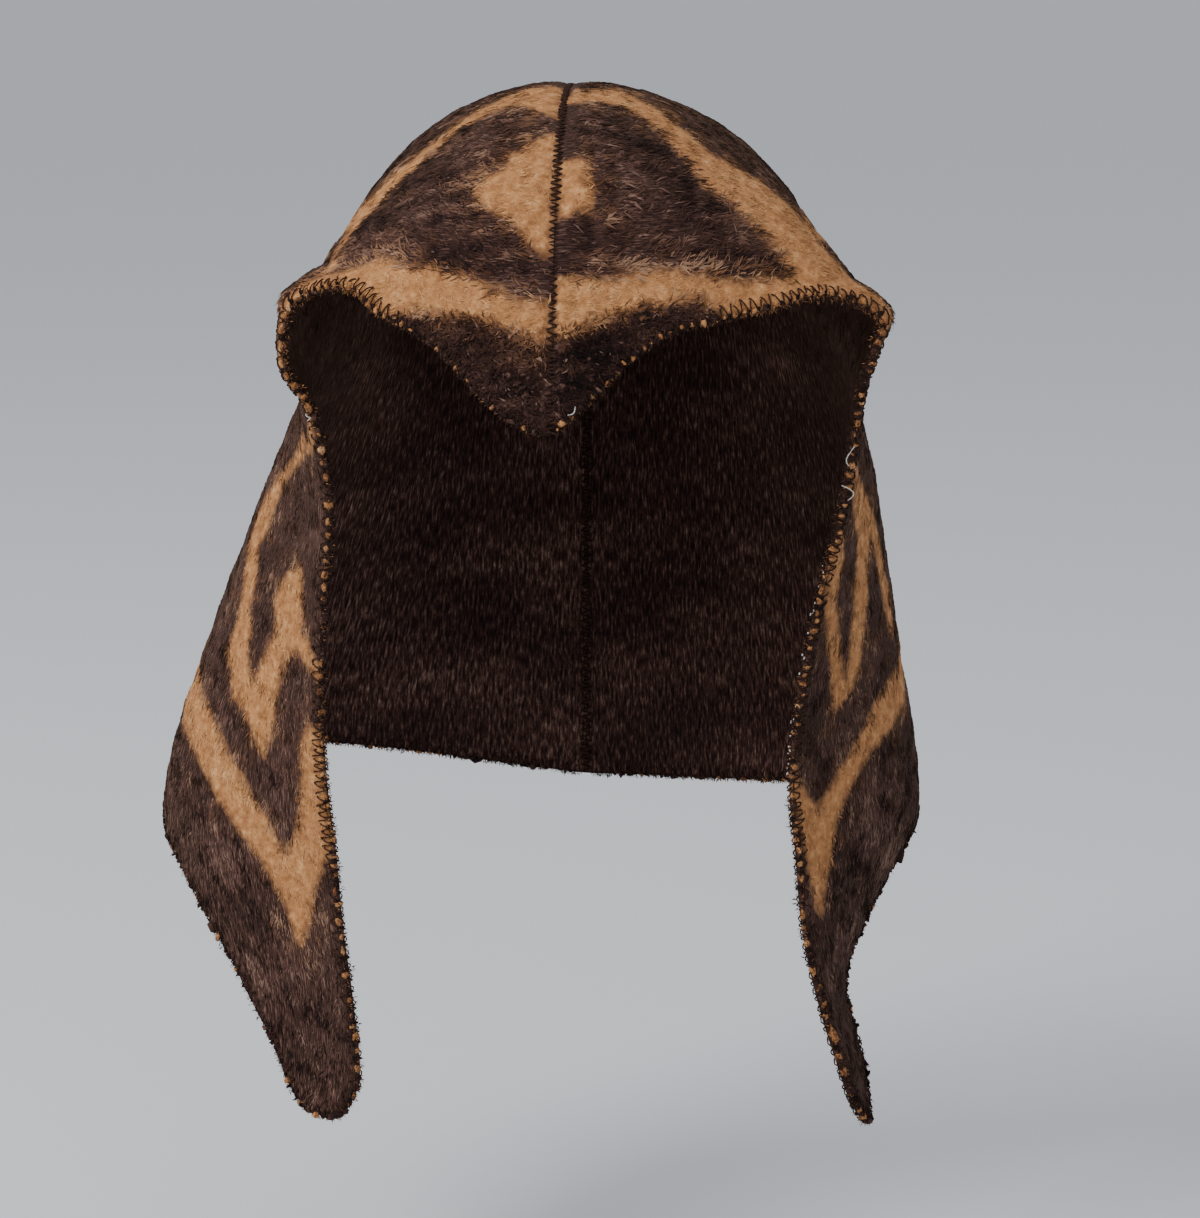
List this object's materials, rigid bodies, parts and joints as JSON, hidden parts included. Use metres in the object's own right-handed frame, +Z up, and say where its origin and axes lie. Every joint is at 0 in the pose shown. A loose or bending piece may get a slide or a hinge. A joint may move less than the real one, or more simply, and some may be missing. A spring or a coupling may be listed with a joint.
{
  "type": "sauna hat",
  "caption": "Hooded sauna hat of thick napped felt: a dome with a pointed brow and long ear lappets, sewn along a centre seam.",
  "frame": {"origin": "the point where the top of the head meets the felt, on the centre seam", "axes": "+Z up, the wearer looks along -Y, and +X is the right side as seen by someone who faces the wearer"},
  "size_m": [0.268, 0.2271, 0.35],
  "materials": {
    "wool_left": "napped wool felt, dark brown with tan bands",
    "wool_right": "napped wool felt, dark brown with tan bands"
  },
  "bodies": {
    "root": {"panel_left": "wool_left", "panel_right": "wool_right"}
  },
  "joints": []
}
